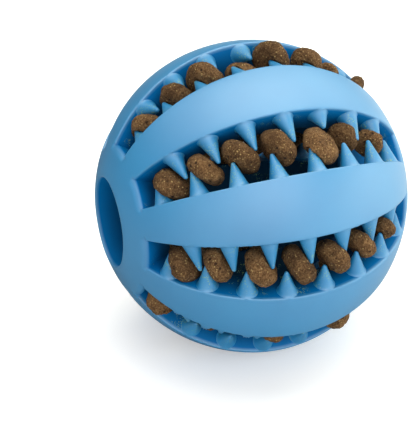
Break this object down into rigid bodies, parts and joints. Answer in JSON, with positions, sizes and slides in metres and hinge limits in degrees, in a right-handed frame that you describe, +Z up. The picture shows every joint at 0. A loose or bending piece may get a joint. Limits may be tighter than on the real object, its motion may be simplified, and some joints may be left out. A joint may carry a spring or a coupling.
{
  "type": "treat dispensing ball",
  "caption": "Hollow rubber pet ball with a hole through each pole and toothed slots between its ribs that grip dry treats until they are licked or chewed out.",
  "frame": {"origin": "centre of the ball, on the axis of the two pole holes", "axes": "+X along the axis of the pole holes, +Z up through the middle of the top slot, -Y through the middle of the front slot"},
  "size_m": [0.067, 0.0712, 0.071],
  "materials": {
    "blue_rubber": "satin",
    "kibble": "matte"
  },
  "bodies": {
    "ball": {"ball_shell": "blue_rubber", "teeth_top": "blue_rubber", "teeth_front_upper": "blue_rubber", "teeth_front": "blue_rubber", "teeth_front_lower": "blue_rubber", "teeth_bottom": "blue_rubber", "teeth_rear_lower": "blue_rubber", "teeth_rear": "blue_rubber", "teeth_rear_upper": "blue_rubber"},
    "treat_top_1": {"treat_top_1": "kibble"},
    "treat_top_2": {"treat_top_2": "kibble"},
    "treat_top_3": {"treat_top_3": "kibble"},
    "treat_top_4": {"treat_top_4": "kibble"},
    "treat_top_5": {"treat_top_5": "kibble"},
    "treat_top_6": {"treat_top_6": "kibble"},
    "treat_top_7": {"treat_top_7": "kibble"},
    "treat_top_8": {"treat_top_8": "kibble"},
    "treat_front_upper_1": {"treat_front_upper_1": "kibble"},
    "treat_front_upper_2": {"treat_front_upper_2": "kibble"},
    "treat_front_upper_3": {"treat_front_upper_3": "kibble"},
    "treat_front_upper_4": {"treat_front_upper_4": "kibble"},
    "treat_front_upper_5": {"treat_front_upper_5": "kibble"},
    "treat_front_upper_6": {"treat_front_upper_6": "kibble"},
    "treat_front_upper_7": {"treat_front_upper_7": "kibble"},
    "treat_front_1": {"treat_front_1": "kibble"},
    "treat_front_2": {"treat_front_2": "kibble"},
    "treat_front_3": {"treat_front_3": "kibble"},
    "treat_front_4": {"treat_front_4": "kibble"},
    "treat_front_5": {"treat_front_5": "kibble"},
    "treat_front_6": {"treat_front_6": "kibble"},
    "treat_front_7": {"treat_front_7": "kibble"},
    "treat_front_lower_1": {"treat_front_lower_1": "kibble"},
    "treat_front_lower_2": {"treat_front_lower_2": "kibble"},
    "treat_front_lower_3": {"treat_front_lower_3": "kibble"},
    "treat_front_lower_4": {"treat_front_lower_4": "kibble"},
    "treat_front_lower_5": {"treat_front_lower_5": "kibble"},
    "treat_bottom_1": {"treat_bottom_1": "kibble"},
    "treat_bottom_2": {"treat_bottom_2": "kibble"},
    "treat_bottom_3": {"treat_bottom_3": "kibble"},
    "treat_bottom_4": {"treat_bottom_4": "kibble"},
    "treat_bottom_5": {"treat_bottom_5": "kibble"},
    "treat_rear_lower_1": {"treat_rear_lower_1": "kibble"},
    "treat_rear_lower_2": {"treat_rear_lower_2": "kibble"},
    "treat_rear_lower_3": {"treat_rear_lower_3": "kibble"},
    "treat_rear_lower_4": {"treat_rear_lower_4": "kibble"},
    "treat_rear_lower_5": {"treat_rear_lower_5": "kibble"},
    "treat_rear_lower_6": {"treat_rear_lower_6": "kibble"},
    "treat_rear_1": {"treat_rear_1": "kibble"},
    "treat_rear_2": {"treat_rear_2": "kibble"},
    "treat_rear_3": {"treat_rear_3": "kibble"},
    "treat_rear_4": {"treat_rear_4": "kibble"},
    "treat_rear_5": {"treat_rear_5": "kibble"},
    "treat_rear_6": {"treat_rear_6": "kibble"},
    "treat_rear_7": {"treat_rear_7": "kibble"},
    "treat_rear_upper_1": {"treat_rear_upper_1": "kibble"},
    "treat_rear_upper_2": {"treat_rear_upper_2": "kibble"},
    "treat_rear_upper_3": {"treat_rear_upper_3": "kibble"},
    "treat_rear_upper_4": {"treat_rear_upper_4": "kibble"},
    "treat_rear_upper_5": {"treat_rear_upper_5": "kibble"},
    "treat_rear_upper_6": {"treat_rear_upper_6": "kibble"}
  },
  "joints": [
    {"name": "treat_top_1_slide", "type": "slide", "parent": "ball", "child": "treat_top_1", "axis": [-0.7536, 0, 0.6574], "range_m": [0, 0.0095]},
    {"name": "treat_top_2_slide", "type": "slide", "parent": "ball", "child": "treat_top_2", "axis": [-0.5402, 0, 0.8415], "range_m": [0, 0.0095]},
    {"name": "treat_top_3_slide", "type": "slide", "parent": "ball", "child": "treat_top_3", "axis": [-0.3338, 0, 0.9426], "range_m": [0, 0.0095]},
    {"name": "treat_top_4_slide", "type": "slide", "parent": "ball", "child": "treat_top_4", "axis": [-0.068, 0, 0.9977], "range_m": [0, 0.0095]},
    {"name": "treat_top_5_slide", "type": "slide", "parent": "ball", "child": "treat_top_5", "axis": [0.1461, 0, 0.9893], "range_m": [0, 0.0095]},
    {"name": "treat_top_6_slide", "type": "slide", "parent": "ball", "child": "treat_top_6", "axis": [0.3923, 0, 0.9198], "range_m": [0, 0.0095]},
    {"name": "treat_top_7_slide", "type": "slide", "parent": "ball", "child": "treat_top_7", "axis": [0.5577, 0, 0.83], "range_m": [0, 0.0095]},
    {"name": "treat_top_8_slide", "type": "slide", "parent": "ball", "child": "treat_top_8", "axis": [0.7325, 0, 0.6807], "range_m": [0, 0.0095]},
    {"name": "treat_front_upper_1_slide", "type": "slide", "parent": "ball", "child": "treat_front_upper_1", "axis": [-0.7501, -0.4676, 0.4676], "range_m": [0, 0.0095]},
    {"name": "treat_front_upper_2_slide", "type": "slide", "parent": "ball", "child": "treat_front_upper_2", "axis": [-0.5556, -0.5879, 0.5879], "range_m": [0, 0.0095]},
    {"name": "treat_front_upper_3_slide", "type": "slide", "parent": "ball", "child": "treat_front_upper_3", "axis": [-0.3363, -0.6659, 0.6659], "range_m": [0, 0.0095]},
    {"name": "treat_front_upper_4_slide", "type": "slide", "parent": "ball", "child": "treat_front_upper_4", "axis": [-0.0785, -0.7049, 0.7049], "range_m": [0, 0.0095]},
    {"name": "treat_front_upper_5_slide", "type": "slide", "parent": "ball", "child": "treat_front_upper_5", "axis": [0.2181, -0.6901, 0.6901], "range_m": [0, 0.0095]},
    {"name": "treat_front_upper_6_slide", "type": "slide", "parent": "ball", "child": "treat_front_upper_6", "axis": [0.447, -0.6325, 0.6325], "range_m": [0, 0.0095]},
    {"name": "treat_front_upper_7_slide", "type": "slide", "parent": "ball", "child": "treat_front_upper_7", "axis": [0.6435, -0.5413, 0.5413], "range_m": [0, 0.0095]},
    {"name": "treat_front_1_slide", "type": "slide", "parent": "ball", "child": "treat_front_1", "axis": [-0.7379, -0.6749, 0], "range_m": [0, 0.0095]},
    {"name": "treat_front_2_slide", "type": "slide", "parent": "ball", "child": "treat_front_2", "axis": [-0.5599, -0.8285, 0], "range_m": [0, 0.0095]},
    {"name": "treat_front_3_slide", "type": "slide", "parent": "ball", "child": "treat_front_3", "axis": [-0.3065, -0.9519, 0], "range_m": [0, 0.0095]},
    {"name": "treat_front_4_slide", "type": "slide", "parent": "ball", "child": "treat_front_4", "axis": [-0.0445, -0.999, 0], "range_m": [0, 0.0095]},
    {"name": "treat_front_5_slide", "type": "slide", "parent": "ball", "child": "treat_front_5", "axis": [0.2079, -0.9781, 0], "range_m": [0, 0.0095]},
    {"name": "treat_front_6_slide", "type": "slide", "parent": "ball", "child": "treat_front_6", "axis": [0.4399, -0.898, 0], "range_m": [0, 0.0095]},
    {"name": "treat_front_7_slide", "type": "slide", "parent": "ball", "child": "treat_front_7", "axis": [0.6494, -0.7604, 0], "range_m": [0, 0.0095]},
    {"name": "treat_front_lower_1_slide", "type": "slide", "parent": "ball", "child": "treat_front_lower_1", "axis": [-0.809, -0.4156, -0.4156], "range_m": [0, 0.0095]},
    {"name": "treat_front_lower_2_slide", "type": "slide", "parent": "ball", "child": "treat_front_lower_2", "axis": [-0.5534, -0.589, -0.589], "range_m": [0, 0.0095]},
    {"name": "treat_front_lower_3_slide", "type": "slide", "parent": "ball", "child": "treat_front_lower_3", "axis": [-0.0993, -0.7036, -0.7036], "range_m": [0, 0.0095]},
    {"name": "treat_front_lower_4_slide", "type": "slide", "parent": "ball", "child": "treat_front_lower_4", "axis": [0.3535, -0.6615, -0.6615], "range_m": [0, 0.0095]},
    {"name": "treat_front_lower_5_slide", "type": "slide", "parent": "ball", "child": "treat_front_lower_5", "axis": [0.5621, -0.5848, -0.5848], "range_m": [0, 0.0095]},
    {"name": "treat_bottom_1_slide", "type": "slide", "parent": "ball", "child": "treat_bottom_1", "axis": [-0.7501, 0, -0.6613], "range_m": [0, 0.0095]},
    {"name": "treat_bottom_2_slide", "type": "slide", "parent": "ball", "child": "treat_bottom_2", "axis": [-0.4423, 0, -0.8969], "range_m": [0, 0.0095]},
    {"name": "treat_bottom_3_slide", "type": "slide", "parent": "ball", "child": "treat_bottom_3", "axis": [-0.0654, 0, -0.9979], "range_m": [0, 0.0095]},
    {"name": "treat_bottom_4_slide", "type": "slide", "parent": "ball", "child": "treat_bottom_4", "axis": [0.1977, 0, -0.9803], "range_m": [0, 0.0095]},
    {"name": "treat_bottom_5_slide", "type": "slide", "parent": "ball", "child": "treat_bottom_5", "axis": [0.6593, 0, -0.7518], "range_m": [0, 0.0095]},
    {"name": "treat_rear_lower_1_slide", "type": "slide", "parent": "ball", "child": "treat_rear_lower_1", "axis": [-0.7431, 0.4731, -0.4731], "range_m": [0, 0.0095]},
    {"name": "treat_rear_lower_2_slide", "type": "slide", "parent": "ball", "child": "treat_rear_lower_2", "axis": [-0.4305, 0.6382, -0.6382], "range_m": [0, 0.0095]},
    {"name": "treat_rear_lower_3_slide", "type": "slide", "parent": "ball", "child": "treat_rear_lower_3", "axis": [-0.0523, 0.7061, -0.7061], "range_m": [0, 0.0095]},
    {"name": "treat_rear_lower_4_slide", "type": "slide", "parent": "ball", "child": "treat_rear_lower_4", "axis": [0.1822, 0.6953, -0.6953], "range_m": [0, 0.0095]},
    {"name": "treat_rear_lower_5_slide", "type": "slide", "parent": "ball", "child": "treat_rear_lower_5", "axis": [0.4399, 0.635, -0.635], "range_m": [0, 0.0095]},
    {"name": "treat_rear_lower_6_slide", "type": "slide", "parent": "ball", "child": "treat_rear_lower_6", "axis": [0.6574, 0.5328, -0.5328], "range_m": [0, 0.0095]},
    {"name": "treat_rear_1_slide", "type": "slide", "parent": "ball", "child": "treat_rear_1", "axis": [-0.7518, 0.6593, 0], "range_m": [0, 0.0095]},
    {"name": "treat_rear_2_slide", "type": "slide", "parent": "ball", "child": "treat_rear_2", "axis": [-0.5534, 0.8329, 0], "range_m": [0, 0.0095]},
    {"name": "treat_rear_3_slide", "type": "slide", "parent": "ball", "child": "treat_rear_3", "axis": [-0.3239, 0.9461, 0], "range_m": [0, 0.0095]},
    {"name": "treat_rear_4_slide", "type": "slide", "parent": "ball", "child": "treat_rear_4", "axis": [-0.0523, 0.9986, 0], "range_m": [0, 0.0095]},
    {"name": "treat_rear_5_slide", "type": "slide", "parent": "ball", "child": "treat_rear_5", "axis": [0.1822, 0.9833, 0], "range_m": [0, 0.0095]},
    {"name": "treat_rear_6_slide", "type": "slide", "parent": "ball", "child": "treat_rear_6", "axis": [0.4305, 0.9026, 0], "range_m": [0, 0.0095]},
    {"name": "treat_rear_7_slide", "type": "slide", "parent": "ball", "child": "treat_rear_7", "axis": [0.6691, 0.7431, 0], "range_m": [0, 0.0095]},
    {"name": "treat_rear_upper_1_slide", "type": "slide", "parent": "ball", "child": "treat_rear_upper_1", "axis": [-0.7501, 0.4676, 0.4676], "range_m": [0, 0.0095]},
    {"name": "treat_rear_upper_2_slide", "type": "slide", "parent": "ball", "child": "treat_rear_upper_2", "axis": [-0.5556, 0.5879, 0.5879], "range_m": [0, 0.0095]},
    {"name": "treat_rear_upper_3_slide", "type": "slide", "parent": "ball", "child": "treat_rear_upper_3", "axis": [-0.1977, 0.6932, 0.6932], "range_m": [0, 0.0095]},
    {"name": "treat_rear_upper_4_slide", "type": "slide", "parent": "ball", "child": "treat_rear_upper_4", "axis": [0.1925, 0.6939, 0.6939], "range_m": [0, 0.0095]},
    {"name": "treat_rear_upper_5_slide", "type": "slide", "parent": "ball", "child": "treat_rear_upper_5", "axis": [0.4446, 0.6334, 0.6334], "range_m": [0, 0.0095]},
    {"name": "treat_rear_upper_6_slide", "type": "slide", "parent": "ball", "child": "treat_rear_upper_6", "axis": [0.6593, 0.5316, 0.5316], "range_m": [0, 0.0095]}
  ]
}
